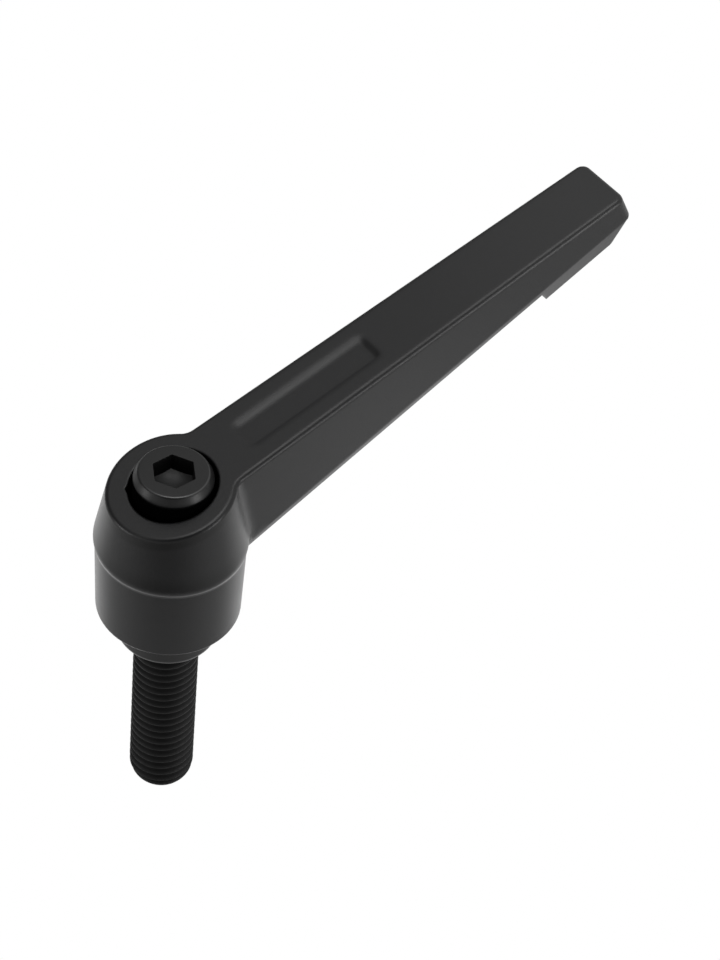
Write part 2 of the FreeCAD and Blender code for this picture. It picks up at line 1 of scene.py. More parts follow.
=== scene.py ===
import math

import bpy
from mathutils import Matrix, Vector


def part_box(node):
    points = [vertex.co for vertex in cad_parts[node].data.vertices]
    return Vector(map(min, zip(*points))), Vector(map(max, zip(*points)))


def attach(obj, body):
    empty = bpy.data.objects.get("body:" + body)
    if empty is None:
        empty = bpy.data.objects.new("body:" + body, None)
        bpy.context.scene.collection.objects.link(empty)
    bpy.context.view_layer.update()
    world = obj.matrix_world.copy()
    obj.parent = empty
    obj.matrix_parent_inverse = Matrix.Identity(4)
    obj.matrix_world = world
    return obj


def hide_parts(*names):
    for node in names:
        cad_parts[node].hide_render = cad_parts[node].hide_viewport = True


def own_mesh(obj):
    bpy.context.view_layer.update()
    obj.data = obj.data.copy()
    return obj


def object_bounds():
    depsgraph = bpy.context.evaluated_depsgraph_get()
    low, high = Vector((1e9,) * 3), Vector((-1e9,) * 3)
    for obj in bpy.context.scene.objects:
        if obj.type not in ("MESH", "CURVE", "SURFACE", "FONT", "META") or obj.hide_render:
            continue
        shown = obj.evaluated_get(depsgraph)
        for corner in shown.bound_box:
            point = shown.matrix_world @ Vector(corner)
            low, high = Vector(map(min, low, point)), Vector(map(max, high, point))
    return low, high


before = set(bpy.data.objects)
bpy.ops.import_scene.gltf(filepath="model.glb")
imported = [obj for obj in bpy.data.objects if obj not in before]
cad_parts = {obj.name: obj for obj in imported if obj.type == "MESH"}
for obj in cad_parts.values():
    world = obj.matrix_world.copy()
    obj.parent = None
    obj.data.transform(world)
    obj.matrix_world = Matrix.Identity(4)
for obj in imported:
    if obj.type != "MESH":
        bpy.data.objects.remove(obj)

# %% [markdown]
# # An adjustable clamping lever
# The lever turns a threaded stud. Its hub sits on a toothed insert, and when the lever is lifted
# the teeth come free, so that the arm can be swung back for another pull. The solids come
# ready-made from the CAD model. This file lights them, gives each piece its finish, and makes
# three pieces again: the stud, whose solid has no thread, the screw, whose head needs its fine
# edges, and the spring, which has to shorten when the lever is lifted. Everything is in metres,
# on the CAD model's own axes: Z is the stud's axis, X is the arm's, and Z = 0 is the insert's
# lower face.

cad_box = [list(corner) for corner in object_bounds()]
print("CAD box, lowest and highest corner:", cad_box)
print("CAD nodes:", sorted(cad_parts))

# %% [markdown]
# ## The camera
# The photograph looks down on the hub's side of the lever, with the arm running away to the upper
# right. A long lens keeps the arm's two edges almost parallel. The camera could be aimed with a
# constraint at an empty, but one place, one direction and a roll say the same with nothing left
# in the scene, so the camera is turned by a matrix made of those three.

# %% Camera
FRAME_HEIGHT = 960
FOCAL_PIXELS = 3606.5
SENSOR = 36.0
CLIP_START = 0.01
CAMERA_PLACE = Vector((-0.22213, -0.27806, 0.41371))
LOOK = Vector((0.46655, 0.50144, -0.72862))
ROLL = math.radians(5.731)

camera_data = bpy.data.cameras.new("photo camera")
camera_data.sensor_fit = "VERTICAL"
camera_data.sensor_height = SENSOR
camera_data.lens = FOCAL_PIXELS * SENSOR / FRAME_HEIGHT
camera_data.clip_start = CLIP_START
camera = bpy.data.objects.new("photo camera", camera_data)
bpy.context.collection.objects.link(camera)
aim = LOOK.to_track_quat("-Z", "Y").to_matrix().to_4x4()
camera.matrix_world = Matrix.Translation(CAMERA_PLACE) @ aim @ Matrix.Rotation(ROLL, 4, "Z")
bpy.context.scene.camera = camera
print("lens in millimetres:", round(camera_data.lens, 2))

# %% [markdown]
# ## A small language for shader maths
# A finish is a graph of nodes, and graphs of plain arithmetic are tedious to wire one node at a
# time. The first class wraps a socket, so that an expression such as 1 - mask adds the Math
# nodes that it stands for. The second holds a graph and adds any node by one method.

# %% Values and graphs
class Value:
    """A number that varies over a surface: the output socket of a node."""

    def __init__(self, graph, socket):
        self.graph = graph
        self.socket = socket

    def maths(self, operation, first, second):
        """What comes out of a Math node."""
        return self.graph.add("ShaderNodeMath", {"operation": operation}, {0: first, 1: second})

    def __add__(self, other):
        return self.maths("ADD", self, other)

    __radd__ = __add__

    def __sub__(self, other):
        return self.maths("SUBTRACT", self, other)

    def __rsub__(self, other):
        return self.maths("SUBTRACT", other, self)

    def __mul__(self, other):
        return self.maths("MULTIPLY", self, other)

    __rmul__ = __mul__


class Graph:
    """The node graph of a material or of the world, emptied."""

    def __init__(self, owner):
        owner.use_nodes = True
        self.nodes = owner.node_tree.nodes
        self.links = owner.node_tree.links
        self.nodes.clear()

    def node(self, kind, settings, inputs):
        """A node of a kind, with its settings first and then the values or links of its sockets."""
        node = self.nodes.new(kind)
        for name, value in settings.items():
            setattr(node, name, value)
        for name, value in inputs.items():
            self.feed(node, name, value)
        return node

    def add(self, kind, settings, inputs, output=0):
        """What comes out of a new node."""
        return Value(self, self.node(kind, settings, inputs).outputs[output])

    def feed(self, node, name, value):
        """Links a value to a socket, or sets the socket to a number, a vector or a colour."""
        socket = node.inputs[name]
        if isinstance(value, Value):
            self.links.new(value.socket, socket)
        elif socket.type == "RGBA":
            socket.default_value = (*value, 1)
        else:
            socket.default_value = value


print("a value is", Value.__doc__, "A graph is", Graph.__doc__)

# %% [markdown]
# ## Patterns
# The finish of a real casting differs from place to place, and here a place is measured on the
# piece's own axes. A pattern could be painted on an image, but measures and noise need no file
# and stay sharp at any size. Colours and directions don't go through the arithmetic above: a
# Math node would turn them grey, so they have Mix and Vector Math nodes.

# %% Patterns
class Pattern(Graph):
    """A graph with measures of place, ramps, noise and colours."""

    def place(self):
        """Where a point of the piece is, in metres."""
        return self.add("ShaderNodeTexCoord", {}, {}, "Object")

    def vector_maths(self, operation, first, second, output):
        """What comes out of a Vector Math node with two inputs."""
        return self.add(
            "ShaderNodeVectorMath", {"operation": operation}, {0: first, 1: second}, output)

    def along(self, point, direction):
        """How far a point lies along a direction."""
        return self.vector_maths("DOT_PRODUCT", point, direction, "Value")

    def apart(self, point, other):
        """How far two points are from each other."""
        return self.vector_maths("DISTANCE", point, other, "Value")

    def from_axis(self, point):
        """How far a point is from the stud's axis."""
        flat = self.vector_maths("MULTIPLY", point, (1, 1, 0), "Vector")
        return self.add("ShaderNodeVectorMath", {"operation": "LENGTH"}, {0: flat}, "Value")

    def ramp(self, value, low, high):
        """Rises smoothly from 0 at one value to 1 at another."""
        settings = {"interpolation_type": "SMOOTHSTEP"}
        return self.add("ShaderNodeMapRange", settings, {"Value": value, 1: low, 2: high})

    def band(self, value, rise, fall):
        """1 between a rise and a fall, which each have a start and an end, and 0 outside."""
        return self.ramp(value, *rise) * (1 - self.ramp(value, *fall))

    def light_path(self, ray):
        """1 for rays of a kind, such as those that come from the camera, and 0 for others."""
        return self.add("ShaderNodeLightPath", {}, {}, ray)

    def noise(self, grain, detail):
        """Cloudy noise whose lumps are about one grain across, in metres."""
        inputs = {"Vector": self.place(), "Scale": 1 / grain, "Detail": detail, "Roughness": 0.5}
        return self.add("ShaderNodeTexNoise", {}, inputs, "Fac")

    def between(self, value, low, high):
        """Carries a value from 0 to 1 over to the range from low to high."""
        return value * (high - low) + low

    def tint(self, share, first, second):
        """A colour between two others."""
        return self.add("ShaderNodeMix", {"data_type": "RGBA"}, {0: share, 6: first, 7: second}, 2)


print("measures and patterns:", [name for name in vars(Pattern) if not name.startswith("_")])

# %% [markdown]
# ## Finishes
# A finish is a pattern that ends in a Principled shader. Real edges are never sharp, so a finish
# can round the normals over them with the Bevel node, draw them towards a flat face where a coat
# fills a hollow, and put fine relief on top. None of it changes the piece's form.

# %% Finishes
GLOSS_ROUGHNESS = 0.35
BEVEL_SAMPLES = 8
# The black of painted shade, for places where no light comes back.
PAINTED_SHADE_BLACK = (0.001, 0.001, 0.001)


class Finish(Pattern):
    """A material with its Principled shader ready to be fed."""

    def __init__(self, name):
        self.material = bpy.data.materials.new(name)
        super().__init__(self.material)
        self.shader = self.node("ShaderNodeBsdfPrincipled", {}, {})
        self.bare = Value(self, self.shader.outputs[0])
        self.surface = self.node("ShaderNodeOutputMaterial", {}, {"Surface": self.bare})

    def set(self, **sockets):
        """Feeds the Principled shader. An underscore in a name stands for a space."""
        for name, value in sockets.items():
            self.feed(self.shader, name.replace("_", " "), value)

    def gloss(self, share):
        """A soft clear gloss, by a share from 0 to 1, where a coat pools or an edge is rubbed."""
        self.set(Coat_Weight=share, Coat_Roughness=GLOSS_ROUGHNESS)

    def cover(self, share, other):
        """Lets another shader take the place of the finish, by a share from 0 to 1."""
        mixed = self.add("ShaderNodeMixShader", {}, {0: share, 1: self.bare, 2: other})
        self.feed(self.surface, "Surface", mixed)

    def painted_shade_black(self):
        """Painted shade: a black surface that mirrors nothing, for places that no light reaches."""
        return self.add("ShaderNodeBsdfDiffuse", {}, {"Color": PAINTED_SHADE_BLACK, "Roughness": 1.0})

    def softened(self, reach):
        """The surface's normal, rounded over its edges within a reach in metres."""
        return self.add("ShaderNodeBevel", {"samples": BEVEL_SAMPLES}, {"Radius": reach})

    def levelled(self, share, normal, flat):
        """A normal drawn towards a flat face's, by a share from 0 to 1."""
        turn = {"vector_type": "NORMAL", "convert_from": "OBJECT", "convert_to": "WORLD"}
        face = self.add("ShaderNodeVectorTransform", turn, {0: flat})
        mixed = self.add(
            "ShaderNodeMix", {"data_type": "VECTOR"}, {0: share, 4: normal, 5: face}, 1)
        return self.add("ShaderNodeVectorMath", {"operation": "NORMALIZE"}, {0: mixed})

    def bump(self, height, depth, normal=None):
        """A relief of a depth in metres, for the shader's normal."""
        inputs = {"Height": height, "Distance": depth, "Strength": 1.0}
        if normal is not None:
            inputs["Normal"] = normal
        return self.add("ShaderNodeBump", {}, inputs)

    def dress(self, piece):
        """Gives a piece this finish in place of what it has."""
        piece.data.materials.clear()
        piece.data.materials.append(self.material)


def grey(level):
    """A grey as a colour."""
    return (level, level, level)


print("finishes round edges with", BEVEL_SAMPLES, "samples")

# %% [markdown]
# ## The floor
# The photograph has a white ground with no shadow to speak of, and the black finish shows mostly
# by what it mirrors: a bright ground at the sides and beyond the lever, and a darker one between
# the lever and the camera. A photographed dome could give that. A pale floor with one soft dark
# patch in front, and a glow behind that only mirrored rays see, does it with nothing to load.
# The camera itself sees the floor as white. It lies at the stud's end, where the lever would
# stand.

# %% Floor
FLOOR_SIZE = 6.0
FLOOR_DARK = grey(0.30)
FLOOR_LIGHT = grey(0.93)
FLOOR_ROUGHNESS = 0.9
DARK_DISTANCE = 0.13
DARK_REACH = (0.02, 0.13)
FAR_GLOW = grey(0.60)
FAR_RISE = (-0.01, 0.03)
FAR_FALL = (0.07, 0.14)
BLACK = grey(0)
WHITE = grey(1)

low_corner, high_corner = (Vector(corner) for corner in cad_box)
middle = (low_corner + high_corner) / 2
beyond = Vector((LOOK.x, LOOK.y, 0)).normalized()
bpy.ops.object.select_all(action="DESELECT")
bpy.ops.mesh.primitive_plane_add(size=FLOOR_SIZE, location=(0, 0, low_corner.z))
floor = bpy.context.object
floor.name = "floor"
ground = Finish("white_floor")
spot = ground.place()
light = ground.ramp(ground.apart(spot, beyond * -DARK_DISTANCE), *DARK_REACH)
far = ground.ramp(ground.along(spot, beyond), *FAR_RISE)
far = far * (1 - ground.ramp(ground.from_axis(spot), *FAR_FALL))
ground.set(
    Base_Color=ground.tint(light, FLOOR_DARK, FLOOR_LIGHT),
    Roughness=FLOOR_ROUGHNESS,
    Specular_IOR_Level=0.0,
    Emission_Color=ground.tint(far * ground.light_path("Is Glossy Ray"), BLACK, FAR_GLOW),
    Emission_Strength=1.0,
)
backdrop = ground.add("ShaderNodeEmission", {}, {"Color": WHITE, "Strength": 1.0})
ground.cover(ground.light_path("Is Camera Ray"), backdrop)
ground.dress(floor)
print("floor at", round(low_corner.z, 4))

# %% [markdown]
# ## The sky
# The world is the softest light there is. It is white to the camera and dimmer to the pieces,
# and it has three soft shades: one behind the camera, which the flat faces mirror, and two low
# on the far side. Black card at a photographer's table does the same. Real cards would have to be
# hidden from the camera and from the other views, so the shades are part of the world.

# %% World
SKY_LIGHT = 0.70
SKY_SHADES = (      # where it is, from where to where it deepens, and how much it takes away
    (-LOOK.normalized(), (0.74, 0.92), 0.95),
    (Vector((-0.53, 0.76, 0.37)), (0.72, 0.95), 0.75),
    (Vector((0.27, 0.95, 0.15)), (0.78, 0.95), 0.60),
)

bpy.context.scene.world = bpy.data.worlds.new("studio")
sky = Pattern(bpy.context.scene.world)
direction = sky.add("ShaderNodeTexCoord", {}, {}, "Generated")
strength = SKY_LIGHT
for towards, edge, share in SKY_SHADES:
    strength = strength * (1 - share * sky.ramp(sky.along(direction, towards), *edge))
dome = sky.add("ShaderNodeBackground", {}, {"Color": WHITE, "Strength": strength})
white = sky.add("ShaderNodeBackground", {}, {"Color": WHITE, "Strength": 1.0})
seen = sky.add("ShaderNodeMixShader", {}, {0: sky.light_path("Is Camera Ray"), 1: dome, 2: white})
sky.node("ShaderNodeOutputWorld", {}, {"Surface": seen})
bpy.context.scene.view_settings.view_transform = "Standard"
print("shades in the sky:", len(SKY_SHADES))

# %% [markdown]
# ## The lamps
# Three lamps draw the bright faces: one above for the arm's top, and one low on either side for
# the hub's flanks. Small lamps would leave hard points of light on the satin coat, so these are
# square area lamps, as wide as a studio's soft boxes.

# %% Lamps
LAMPS = {       # where it is, its width, and its radiance, of which 1 mirrors as white
    "lamp_overhead": ((0.06, 0.02, 0.75), 0.36, 3.0),
    "lamp_at_the_left": ((-0.78, 0.34, 0.13), 0.30, 3.5),
    "lamp_at_the_right": ((0.30, -0.70, 0.11), 0.26, 5.0),
}


def lamp(name, place, size, radiance):
    """A square lamp that faces the lever."""
    data = bpy.data.lights.new(name, "AREA")
    data.shape = "SQUARE"
    data.size = size
    data.energy = radiance * math.pi * size ** 2
    item = bpy.data.objects.new(name, data)
    bpy.context.collection.objects.link(item)
    item.location = place
    item.rotation_euler = (middle - item.location).to_track_quat("-Z", "Y").to_euler()


for lamp_name, (lamp_place, lamp_size, lamp_radiance) in LAMPS.items():
    lamp(lamp_name, lamp_place, lamp_size, lamp_radiance)
print("lamps:", len(LAMPS))

# %% [markdown]
# ## Powder coat on the lever
# The lever is a zinc casting under black powder coat: a dead black ground with a satin skin whose
# grain is a few tenths of a millimetre. Two noises make it, one for the grain's relief and one,
# much wider, for the slow change in sheen that any baked coat has. The relief is a bump, because
# it is far finer than any mesh that would stay light. The cells after this one change the coat
# from place to place, by bands of these measures: away from the stud's axis, along the arm,
# across it, up the axis, and up from the arm's sloping top.

# %% The coat's grain and its measures
COAT_DARK = (0.0055, 0.0055, 0.0058)
COAT_LIGHT = (0.0090, 0.0090, 0.0095)
COAT_GRAIN = 0.00022
COAT_CLOUD = 0.006
TOP_SLOPE = math.radians(12.5)
TOP_NORMAL = (-math.sin(TOP_SLOPE), 0, math.cos(TOP_SLOPE))

coat = Finish("black_powder_coat")
grain = coat.noise(COAT_GRAIN, detail=3.0)
cloud = coat.noise(COAT_CLOUD, detail=2.0)
speckle = coat.tint(grain * 0.7 + cloud * 0.3, COAT_DARK, COAT_LIGHT)
coat_place = coat.place()
coat_radius = coat.from_axis(coat_place)
coat_along = coat.along(coat_place, (1, 0, 0))
coat_across = coat.along(coat_place, (0, 1, 0))
coat_height = coat.along(coat_place, (0, 0, 1))
coat_level = coat.along(coat_place, TOP_NORMAL)
print("the arm's top is square to", [round(part, 3) for part in TOP_NORMAL])

# %% [markdown]
# ## The coat's soft edges
# Powder melts into a skin that rounds every edge of the casting. It rounds them a little more
# along the arm, and most of all in the bend where the arm leaves the hub and in the shallow
# recess, where it pools. The solid could be rounded further instead, but such broad and uneven
# roundings cost thousands of faces, so the normal is softened over a reach that changes from
# place to place.

# %% Soft edges
EDGE_SOFTNESS = 0.0004
ARM_SOFTNESS = 0.00035
ARM_START = (0.014, 0.018)
BEND_SOFTNESS = 0.0016
BEND_NEAR = (0.0080, 0.0095)
BEND_FAR = (0.0135, 0.0150)
BEND_SIDE = (0.0030, 0.0050)
BEND_TOP = (0.0305, 0.0315)
RECESS_SOFTNESS = 0.0012
RECESS_NEAR = (0.0095, 0.0110)
RECESS_FAR = (0.0375, 0.0390)
RECESS_SIDE = (0.0034 ** 2, 0.0042 ** 2)
RECESS_LEVEL = (0.0290, 0.0300)

across_squared = coat_across * coat_across
in_recess = coat.band(coat_along, RECESS_NEAR, RECESS_FAR)
in_recess = in_recess * (1 - coat.ramp(across_squared, *RECESS_SIDE))
in_recess = in_recess * coat.ramp(coat_height, *RECESS_LEVEL)
in_bend = coat.band(coat_radius, BEND_NEAR, BEND_FAR) * coat.ramp(coat_along, *BEND_SIDE)
in_bend = in_bend * (1 - coat.ramp(coat_height, *BEND_TOP))
on_arm = coat.ramp(coat_along, *ARM_START) * (1 - in_recess)
softness = EDGE_SOFTNESS + on_arm * ARM_SOFTNESS
softness = softness + in_bend * BEND_SOFTNESS + in_recess * RECESS_SOFTNESS
print("edges soften over", EDGE_SOFTNESS, "to", EDGE_SOFTNESS + BEND_SOFTNESS)

# %% [markdown]
# ## The filled recess
# Melted powder runs together on the recess's floor and comes out almost level with the top, so
# the recess shows by a soft rim and hardly by its depth. The solid keeps the casting's hollow,
# and the finish draws its normals towards the top's, by less on the slopes than on the floor.
# The grain's relief comes on top of all that.

# %% Filled recess
RECESS_FILL = 0.40
FLOOR_FILL = 0.56
FLOOR_START = (0.0118, 0.0128)
FLOOR_END = (0.0351, 0.0361)
FLOOR_SIDE = (0.0014 ** 2, 0.0028 ** 2)
GRAIN_DEPTH = 0.000012

on_floor = coat.band(coat_along, FLOOR_START, FLOOR_END)
on_floor = on_floor * (1 - coat.ramp(across_squared, *FLOOR_SIDE))
fill = in_recess * (RECESS_FILL + on_floor * FLOOR_FILL)
skin = coat.levelled(fill, coat.softened(softness), TOP_NORMAL)
coat.set(Normal=coat.bump(grain, GRAIN_DEPTH, skin))
print("the recess is levelled by", RECESS_FILL, "to", round(RECESS_FILL + FLOOR_FILL, 2))

# %% [markdown]
# ## Gloss and shade
# The coat gathers in the fold under the lip and along the skirt's foot, and fingers polish the
# top towards the tip: these places get more gloss. Two bands of painted shade darken the coat's
# colour: one on the slope above the lip, which stands in for the lip's own black mirrored there,
# and one under the hub's top edge. An image could carry such shade too. Bands do it with a few
# numbers, and they follow the casting's own lines.

# %% Gloss
FOLD_GLOSS = 0.7
LIP_INSIDE = (0.0105, 0.0108)
LIP_OUTSIDE = (0.0119, 0.0121)
FOLD_FOOT = (0.0189, 0.0191)
FOLD_TOP = (0.0197, 0.0199)
SKIRT_WALL = (0.0100, 0.0102)
SKIRT_FOOT = (0.0060, 0.0062)
TOUCH_GLOSS = 0.28
TOUCH_START = (0.035, 0.080)
TOUCH_LEVEL = (0.0296, 0.0302)

at_lip = coat.band(coat_radius, LIP_INSIDE, LIP_OUTSIDE)
in_fold = at_lip * coat.band(coat_height, FOLD_FOOT, FOLD_TOP)
at_foot = coat.ramp(coat_radius, *SKIRT_WALL) * (1 - coat.ramp(coat_height, *SKIRT_FOOT))
polished = coat.ramp(coat_along, *TOUCH_START) * coat.ramp(coat_level, *TOUCH_LEVEL)
coat.gloss((in_fold + at_foot) * FOLD_GLOSS + polished * TOUCH_GLOSS)
print("glossiest share of the coat:", FOLD_GLOSS)

# %% Shade and polish
PAINTED_SHADE_COLOUR = grey(0.0006)
COAT_POLISH = (0.29, 0.39)
COAT_SHINE = 0.40
SHADE_FOOT = (0.0200, 0.0203)
SHADE_TOP = (0.0208, 0.0236)
BROW_FOOT = (0.0285, 0.0293)
BROW_TOP = (0.0302, 0.0304)
BROW_INSIDE = (0.0086, 0.0088)
BROW_END = (0.0030, 0.0060)

# Painted shade: these two bands darken the coat's colour to near black, above the lip and under the
# hub's top edge.
painted_shade_above_lip = at_lip * coat.band(coat_height, SHADE_FOOT, SHADE_TOP)
painted_shade_under_brow = coat.band(coat_level, BROW_FOOT, BROW_TOP) * coat.ramp(coat_radius, *BROW_INSIDE)
painted_shade_under_brow = painted_shade_under_brow * (1 - coat.ramp(coat_along, *BROW_END))
coat.set(
    Base_Color=coat.tint(painted_shade_above_lip + painted_shade_under_brow, speckle, PAINTED_SHADE_COLOUR),
    Roughness=coat.between(grain * 0.5 + cloud * 0.5, *COAT_POLISH),
    Specular_IOR_Level=COAT_SHINE,
)
print("roughness of the coat:", COAT_POLISH)

# %% [markdown]
# ## The well round the screw
# Hardly any light comes back out of the gap between the well's wall and the screw. A render
# would need many bounces to find that dark, so painted shade takes the coat's place there: a
# black shader that mirrors nothing.

# %% The dark well
WELL_WALL = (0.00660, 0.00670)
WELL_MOUTH = (0.0300, 0.0306)

# Painted shade: inside the well's wall the coat gives way to a black shader that mirrors nothing.
in_well = 1 - coat.ramp(coat_radius, *WELL_WALL)
in_well = in_well * (1 - coat.ramp(coat_height, *WELL_MOUTH))
coat.cover(in_well, coat.painted_shade_black())
coat.dress(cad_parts["lever"])
print("coated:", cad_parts["lever"].name)

# %% [markdown]
# ## Blackened steel on the insert, the stud and the screw
# These are turned or formed steel under a thin black conversion coat, so they keep the marks of
# the tool. A wave texture in rings round the axis gives the marks, and noise breaks them up. An
# anisotropic shader could stretch the highlights in the same way, but it wouldn't show the single
# marks that the collar has. One function makes every variant, because only the tones, the marks
# and the polish differ.

# %% Blackened steel
MOTTLE = 0.0012
SPECK = 0.00015
RING_WOBBLE = 0.6
POLISH_SPREAD = 0.12


def blackened(name, tones, polish, ring_width, ring_depth, shine=0.40, softness=0.0001):
    """Black steel with turning marks that run round the axis."""
    steel = Finish(name)
    waves = {"wave_type": "RINGS", "rings_direction": "Z"}
    inputs = {"Vector": steel.place(), "Scale": 0.5 / ring_width, "Distortion": RING_WOBBLE}
    rings = steel.add("ShaderNodeTexWave", waves, inputs, "Fac")
    mottle = steel.noise(MOTTLE, detail=4.0)
    speck = steel.noise(SPECK, detail=2.0)
    steel.set(
        Base_Color=steel.tint(mottle * 0.6 + speck * 0.4, *tones),
        Roughness=steel.between(mottle * 0.5 + speck * 0.5, polish, polish + POLISH_SPREAD),
        Specular_IOR_Level=shine,
        Normal=steel.bump(rings * 0.5 + speck * 0.5, ring_depth, steel.softened(softness)),
    )
    return steel


print("steel:", blackened.__doc__)

# %% [markdown]
# ## The toothed insert
# All that shows of the insert is a collar under the skirt. Its marks are the deepest of the three
# steel pieces, and its lower edge, which rubs on the work, is bright. The CAD mesh is kept as it
# is, because the finish does all that the photograph shows.

# %% The insert's finish
RUBBED_EDGE = (0.0005, 0.0007)

insert_steel = blackened(
    "black_insert", tones=(grey(0.006), grey(0.010)), polish=0.30,
    ring_width=0.00012, ring_depth=0.000005)
insert_height = insert_steel.along(insert_steel.place(), (0, 0, 1))
insert_steel.gloss(1 - insert_steel.ramp(insert_height, *RUBBED_EDGE))
insert_steel.dress(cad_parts["toothed_insert"])
print("blackened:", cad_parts["toothed_insert"].name)

# %% [markdown]
# ## Helpers for new pieces
# The three pieces that follow are made by the same few moves: a profile is drawn from a single
# point, the Screw modifier winds it round Z, and other bodies trim it. Each helper does one move
# with Blender's own operators, on one piece alone.

# %% Holding and editing a piece
MERGE_REACH = 1e-7


def let_go():
    """Deselects everything, so that operators touch only what is made or held next."""
    if bpy.context.mode != "OBJECT":
        bpy.ops.object.mode_set(mode="OBJECT")
    bpy.ops.object.select_all(action="DESELECT")


def hold(piece):
    """Selects one piece alone."""
    let_go()
    piece.select_set(True)
    bpy.context.view_layer.objects.active = piece


def open_up(piece):
    """Opens a piece for editing with all of its mesh selected."""
    hold(piece)
    bpy.ops.object.mode_set(mode="EDIT")
    bpy.ops.mesh.select_all(action="SELECT")


def lone_point(name, place):
    """A mesh of a single point, open for editing: a plane whose corners are merged."""
    let_go()
    bpy.ops.mesh.primitive_plane_add(size=0.001, location=(0, 0, 0))
    piece = bpy.context.object
    piece.name = name
    bpy.ops.object.mode_set(mode="EDIT")
    bpy.ops.mesh.merge(type="CENTER")
    bpy.ops.transform.translate(value=place)
    return piece


print("points closer than", MERGE_REACH, "are one")

# %% Winding, cutting and cleaning
def apply_modifier(piece, modifier):
    """Makes what a modifier does to a piece its own mesh."""
    hold(piece)
    bpy.ops.object.modifier_apply(modifier=modifier.name)


def wind(piece, steps, angle=math.tau, climb=0.0, repeats=1):
    """Winds a profile round Z by an angle and up by a climb, as many times as it repeats."""
    winding = piece.modifiers.new("winding", "SCREW")
    winding.axis = "Z"
    winding.angle = angle
    winding.screw_offset = climb
    winding.iterations = repeats
    winding.steps = steps
    winding.render_steps = steps
    winding.use_merge_vertices = True
    winding.merge_threshold = MERGE_REACH
    apply_modifier(piece, winding)


def cut_flat(piece, height, keep_above):
    """Cuts the piece at a height, drops one side, and closes the cut."""
    open_up(piece)
    bpy.ops.mesh.bisect(
        plane_co=(0, 0, height), plane_no=(0, 0, 1), use_fill=True, threshold=MERGE_REACH,
        clear_inner=keep_above, clear_outer=not keep_above)
    bpy.ops.object.mode_set(mode="OBJECT")


def clean(piece):
    """Merges doubled points and turns all faces outwards."""
    open_up(piece)
    bpy.ops.mesh.remove_doubles(threshold=MERGE_REACH)
    bpy.ops.mesh.normals_make_consistent(inside=False)
    bpy.ops.object.mode_set(mode="OBJECT")


def smooth(piece, degrees):
    """Shades the piece smooth, but for edges sharper than an angle."""
    hold(piece)
    bpy.ops.object.shade_smooth_by_angle(angle=math.radians(degrees))


def millimetres(piece):
    """The size of a piece, to be printed."""
    return [round(side * 1000, 2) for side in piece.dimensions]


print("helpers:", [helper.__name__ for helper in (wind, cut_flat, clean, smooth)])

# %% [markdown]
# ## The threaded stud
# On the real lever this is an M10 thread, 1.5 mm a turn, rolled on a steel blank with a rounded
# end and an undercut. The solid is plain over the thread's crests, because a helix would cost it
# thousands of faces. Here a single point is extruded into one tooth of the thread, the Screw
# modifier winds it up the axis, and the part that it shares with the turned blank is kept. A
# bump texture would be cheaper, but the thread shows in the outline, so it has to be real.

# %% One tooth of the thread, wound up the axis
PITCH = 0.0015
CREST_FLAT = PITCH / 8
ROOT_FLAT = PITCH / 4
TRIANGLE_HEIGHT = 0.866 * PITCH
THREAD_DEPTH = 0.625 * TRIANGLE_HEIGHT
STUD_CLEARANCE = 0.00003
TURNS_BELOW = 1.5
SPARE_TURNS = 2
THREAD_STEPS = 72
CUT_MARGIN = 0.00001

stud_low, stud_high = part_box("threaded_stud")
stud_radius = stud_high[0] - STUD_CLEARANCE
root_radius = stud_radius - THREAD_DEPTH
flank_rise = (PITCH - CREST_FLAT - ROOT_FLAT) / 2
tooth = (
    (0, ROOT_FLAT),
    (THREAD_DEPTH, flank_rise),
    (0, CREST_FLAT),
    (-THREAD_DEPTH, flank_rise),
)
turns = math.ceil((stud_high[2] - stud_low[2]) / PITCH) + SPARE_TURNS

stud = lone_point("rolled_thread_stud", (root_radius, 0, stud_low[2] - TURNS_BELOW * PITCH))
for outwards, upwards in tooth:
    bpy.ops.mesh.extrude_region_move(TRANSFORM_OT_translate={"value": (outwards, 0, upwards)})
bpy.ops.object.mode_set(mode="OBJECT")
wind(stud, THREAD_STEPS, climb=PITCH, repeats=turns)
clean(stud)
cut_flat(stud, stud_low[2] + CUT_MARGIN, keep_above=True)
cut_flat(stud, stud_high[2] - CUT_MARGIN, keep_above=False)
clean(stud)
print("thread turns:", turns, "faces:", len(stud.data.polygons))

# %% Turned bodies
TURNED_STEPS = 144


def turned(name, profile, steps=TURNED_STEPS):
    """A closed turned body: a lone point drawn along radii and heights, and wound round Z."""
    radius, height = profile[0]
    piece = lone_point(name, (radius, 0, height))
    for next_radius, next_height in profile[1:]:
        move = (next_radius - radius, 0, next_height - height)
        bpy.ops.mesh.extrude_region_move(TRANSFORM_OT_translate={"value": move})
        radius, height = next_radius, next_height
    bpy.ops.object.mode_set(mode="OBJECT")
    wind(piece, steps)
    clean(piece)
    return piece


def combine(piece, other, operation):
    """Joins another body to the piece, cuts it away, or keeps what both share, and drops it."""
    both = piece.modifiers.new("both", "BOOLEAN")
    both.operation = operation
    both.solver = "EXACT"
    both.object = other
    apply_modifier(piece, both)
    bpy.data.objects.remove(other)


print("a turned body has", TURNED_STEPS, "sides")

# %% The blank's rounded end, its undercut and its seat
POINT_LENGTH = 0.0029
POINT_RADIUS = 0.0038
POINT_STEPS = 10
CREST_MARGIN = 0.00006
UNDERCUT_LOW = -0.00155
UNDERCUT_HIGH = 0.0005
UNDERCUT_RADIUS = 0.0040
SEAT_BEVEL = 0.0005
STUD_SHARPEST = 35

